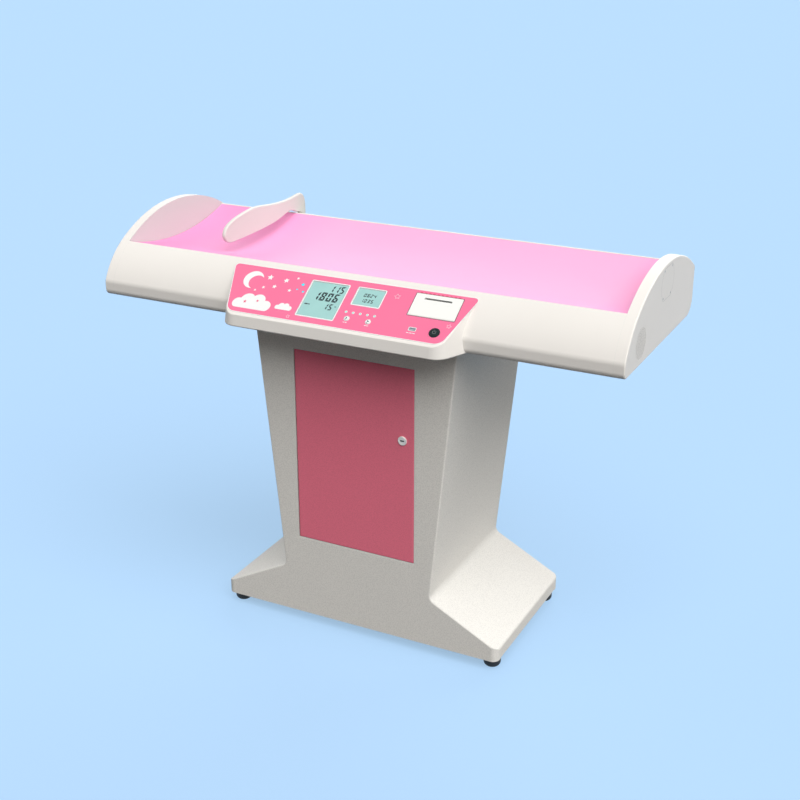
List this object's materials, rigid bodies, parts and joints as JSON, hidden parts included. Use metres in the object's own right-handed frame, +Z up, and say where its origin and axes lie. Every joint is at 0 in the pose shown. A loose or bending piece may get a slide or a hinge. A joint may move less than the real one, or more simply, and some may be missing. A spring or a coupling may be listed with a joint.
{
  "type": "infant scale",
  "caption": "Infant weighing and measuring scale on a cabinet pedestal, with a curved tray, sliding footboard, sloping display console, label printer and levelling feet.",
  "frame": {"origin": "on the floor, at the middle of the length and the depth", "axes": "+X along the tray to the right, +Y to the back, away from the person at the console, +Z up"},
  "size_m": [1.2, 0.5395, 0.909],
  "materials": {
    "body_white": "gloss",
    "tray_pink": "gloss",
    "label_pink": "satin",
    "grey_powder": "fine texture",
    "door_red": "satin",
    "display": "gloss",
    "black_plastic": "satin",
    "green_board": "satin",
    "white_plastic": "satin",
    "paper": "matte",
    "rubber": "matte",
    "steel": "satin",
    "plated": "polished",
    "aluminium": "satin"
  },
  "bodies": {
    "stand": {"beam_base_pan": "steel", "bench_bolts": "steel", "cabinet_floor": "grey_powder", "cabinet_shelf": "grey_powder", "cap_cover_plate": "body_white", "cap_cover_screws": "steel", "console_housing": "body_white", "console_label": "label_pink", "control_board": "green_board", "door_pivot_pins": "steel", "end_cap_left": "body_white", "end_cap_right": "body_white", "front_moulding_left": "body_white", "front_moulding_right": "body_white", "indicator_lights": "white_plastic", "key_switches": "white_plastic", "load_cell_bases": "steel", "load_cells": "aluminium", "main_display": "display", "mains_inlet": "black_plastic", "overload_stops": "steel", "pedestal_back_panel": "grey_powder", "pedestal_floor_plate": "grey_powder", "pedestal_front_panel": "grey_powder", "pedestal_left_side": "grey_powder", "pedestal_right_side": "grey_powder", "pedestal_top_plate": "grey_powder", "position_strip": "aluminium", "power_supply": "white_plastic", "power_switch_housing": "black_plastic", "print_head": "black_plastic", "printer_bucket": "white_plastic", "rear_shell": "body_white", "slide_rail": "aluminium", "small_display": "display", "speaker_driver": "black_plastic", "speaker_grille": "body_white", "subframe_tubes": "steel", "usb_port": "steel", "weld_nuts": "steel"},
    "door": {"cabinet_door": "door_red", "door_lock_barrel": "plated"},
    "lock": {"lock_plug": "plated", "lock_cam": "plated"},
    "footboard_slide": {"footboard": "body_white", "carriage": "black_plastic", "carriage_liner": "white_plastic"},
    "tray": {"weighing_tray": "tray_pink", "tray_spine": "steel", "tray_saddles": "steel"},
    "left_key": {"key_left": "white_plastic"},
    "right_key": {"key_right": "white_plastic"},
    "power": {"power_button": "black_plastic"},
    "lid": {"printer_lid": "white_plastic"},
    "roller": {"platen_roller": "black_plastic"},
    "paper": {"paper_roll": "paper"},
    "foot_front_left": {"levelling_foot_front_left": "rubber"},
    "foot_front_right": {"levelling_foot_front_right": "rubber"},
    "foot_back_left": {"levelling_foot_back_left": "rubber"},
    "foot_back_right": {"levelling_foot_back_right": "rubber"}
  },
  "joints": [
    {"name": "door_hinge", "type": "hinge", "parent": "stand", "child": "door", "pos_m": [-0.137, -0.157, 0.445], "axis": [0, 0, -1], "range_deg": [0, 100]},
    {"name": "lock_turn", "type": "hinge", "parent": "door", "child": "lock", "pos_m": [0.1165, -0.163, 0.5065], "axis": [0, -1, 0], "range_deg": [0, 90]},
    {"name": "footboard_travel", "type": "slide", "parent": "stand", "child": "footboard_slide", "axis": [1, 0, 0], "range_m": [-0.18, 0.84]},
    {"name": "tray_deflection", "type": "slide", "parent": "stand", "child": "tray", "axis": [0, 0, -1], "range_m": [0, 0.0006], "stiffness_N_per_m": 400000, "springref_m": -0.0001},
    {"name": "left_key_press", "type": "slide", "parent": "stand", "child": "left_key", "axis": [0, 0.5592, -0.829], "range_m": [0, 0.001], "stiffness_N_per_m": 800, "springref_m": -0.0006},
    {"name": "right_key_press", "type": "slide", "parent": "stand", "child": "right_key", "axis": [0, 0.5592, -0.829], "range_m": [0, 0.001], "stiffness_N_per_m": 800, "springref_m": -0.0006},
    {"name": "power_press", "type": "slide", "parent": "stand", "child": "power", "axis": [0, 0.5592, -0.829], "range_m": [0, 0.002], "stiffness_N_per_m": 700, "springref_m": -0.001},
    {"name": "lid_hinge", "type": "hinge", "parent": "stand", "child": "lid", "pos_m": [0.201, -0.20711, 0.80425], "axis": [1, 0, 0], "range_deg": [0, 85]},
    {"name": "roller_spin", "type": "hinge", "parent": "lid", "child": "roller", "pos_m": [0.201, -0.17147, 0.81828], "axis": [1, 0, 0], "continuous": true},
    {"name": "paper_spin", "type": "hinge", "parent": "stand", "child": "paper", "pos_m": [0.201, -0.17495, 0.79483], "axis": [1, 0, 0], "continuous": true},
    {"name": "front_left_foot_screw", "type": "hinge", "parent": "stand", "child": "foot_front_left", "pos_m": [-0.322, -0.133, 0.0255], "axis": [0, 0, 1], "continuous": true},
    {"name": "front_right_foot_screw", "type": "hinge", "parent": "stand", "child": "foot_front_right", "pos_m": [0.322, -0.133, 0.0255], "axis": [0, 0, 1], "continuous": true},
    {"name": "back_left_foot_screw", "type": "hinge", "parent": "stand", "child": "foot_back_left", "pos_m": [-0.322, 0.181, 0.0255], "axis": [0, 0, 1], "continuous": true},
    {"name": "back_right_foot_screw", "type": "hinge", "parent": "stand", "child": "foot_back_right", "pos_m": [0.322, 0.181, 0.0255], "axis": [0, 0, 1], "continuous": true}
  ]
}
